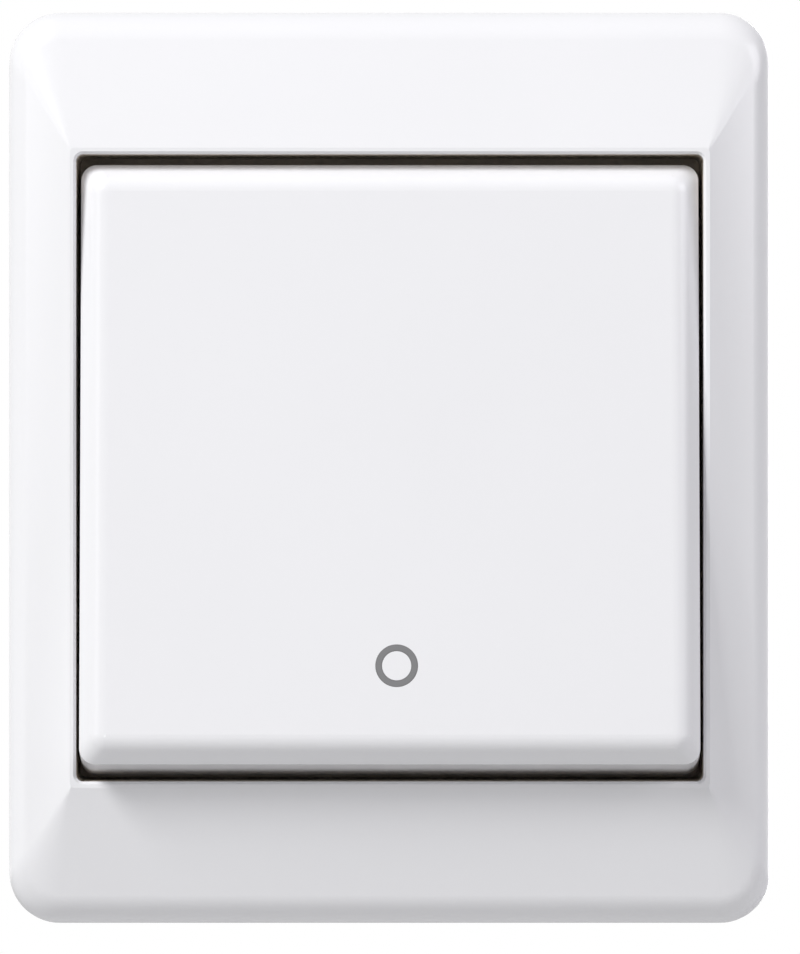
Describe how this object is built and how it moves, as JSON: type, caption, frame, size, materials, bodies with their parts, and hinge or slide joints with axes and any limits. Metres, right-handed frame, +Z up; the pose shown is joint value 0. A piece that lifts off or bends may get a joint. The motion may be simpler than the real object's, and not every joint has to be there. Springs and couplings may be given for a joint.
{
  "type": "surface-mounted light switch",
  "caption": "Surface-mounted room light switch: a white hood with a sloped, mitred front and a large square rocker that tips to open and close contact levers.",
  "frame": {"origin": "centre of the back face of the base, on the wall", "axes": "+X to the right as seen from the room, +Y into the wall, +Z up; the front faces -Y"},
  "size_m": [0.0744, 0.0449, 0.089],
  "materials": {
    "cover": "glossy white moulding",
    "rocker": "glossy white moulding",
    "base": "satin white moulding",
    "housing": "satin grey moulding",
    "bearing": "satin white moulding",
    "carrier": "satin grey moulding",
    "plunger": "natural moulding",
    "spring": "spring steel",
    "brass": "plain brass",
    "contact": "silver contact pads",
    "screw": "zinc-plated"
  },
  "bodies": {
    "housing": {"base": "base", "cover": "cover", "cover_screws": "screw", "mechanism_housing": "housing", "bearing_frame": "bearing", "terminal_screws": "screw", "line_strip_left": "brass", "load_strip_left": "brass", "fixed_contact_left": "contact", "line_terminal_left": "brass", "load_terminal_left": "brass", "line_strip_right": "brass", "load_strip_right": "brass", "fixed_contact_right": "contact", "line_terminal_right": "brass", "load_terminal_right": "brass"},
    "rocker": {"rocker": "rocker", "rocker_carrier": "carrier", "plunger_spring_left": "spring", "plunger_spring_right": "spring"},
    "plunger_left": {"plunger_left": "plunger"},
    "contact_lever_left": {"contact_lever_left": "brass", "moving_contact_left": "contact"},
    "plunger_right": {"plunger_right": "plunger"},
    "contact_lever_right": {"contact_lever_right": "brass", "moving_contact_right": "contact"}
  },
  "joints": [
    {"name": "rocker_tip", "type": "hinge", "parent": "housing", "child": "rocker", "pos_m": [0, -0.036, 0], "axis": [1, 0, 0], "range_deg": [0, 10]},
    {"name": "contact_lever_rock_left", "type": "hinge", "parent": "housing", "child": "contact_lever_left", "pos_m": [-0.0105, -0.0155, 0], "axis": [1, 0, 0], "range_deg": [-18, 0]},
    {"name": "plunger_slide_left", "type": "slide", "parent": "rocker", "child": "plunger_left", "axis": [0, -0.9962, 0.0872], "range_m": [0, 0.0008], "stiffness_N_per_m": 400, "springref_m": -0.002, "deforming": ["plunger_spring_left"]},
    {"name": "contact_lever_rock_right", "type": "hinge", "parent": "housing", "child": "contact_lever_right", "pos_m": [0.0105, -0.0155, 0], "axis": [1, 0, 0], "range_deg": [-18, 0]},
    {"name": "plunger_slide_right", "type": "slide", "parent": "rocker", "child": "plunger_right", "axis": [0, -0.9962, 0.0872], "range_m": [0, 0.0008], "stiffness_N_per_m": 400, "springref_m": -0.002, "deforming": ["plunger_spring_right"]}
  ],
  "couplings": [
    {"joint": "contact_lever_rock_left", "follows": "rocker_tip", "ratio": -1.8},
    {"joint": "contact_lever_rock_right", "follows": "rocker_tip", "ratio": -1.8}
  ]
}
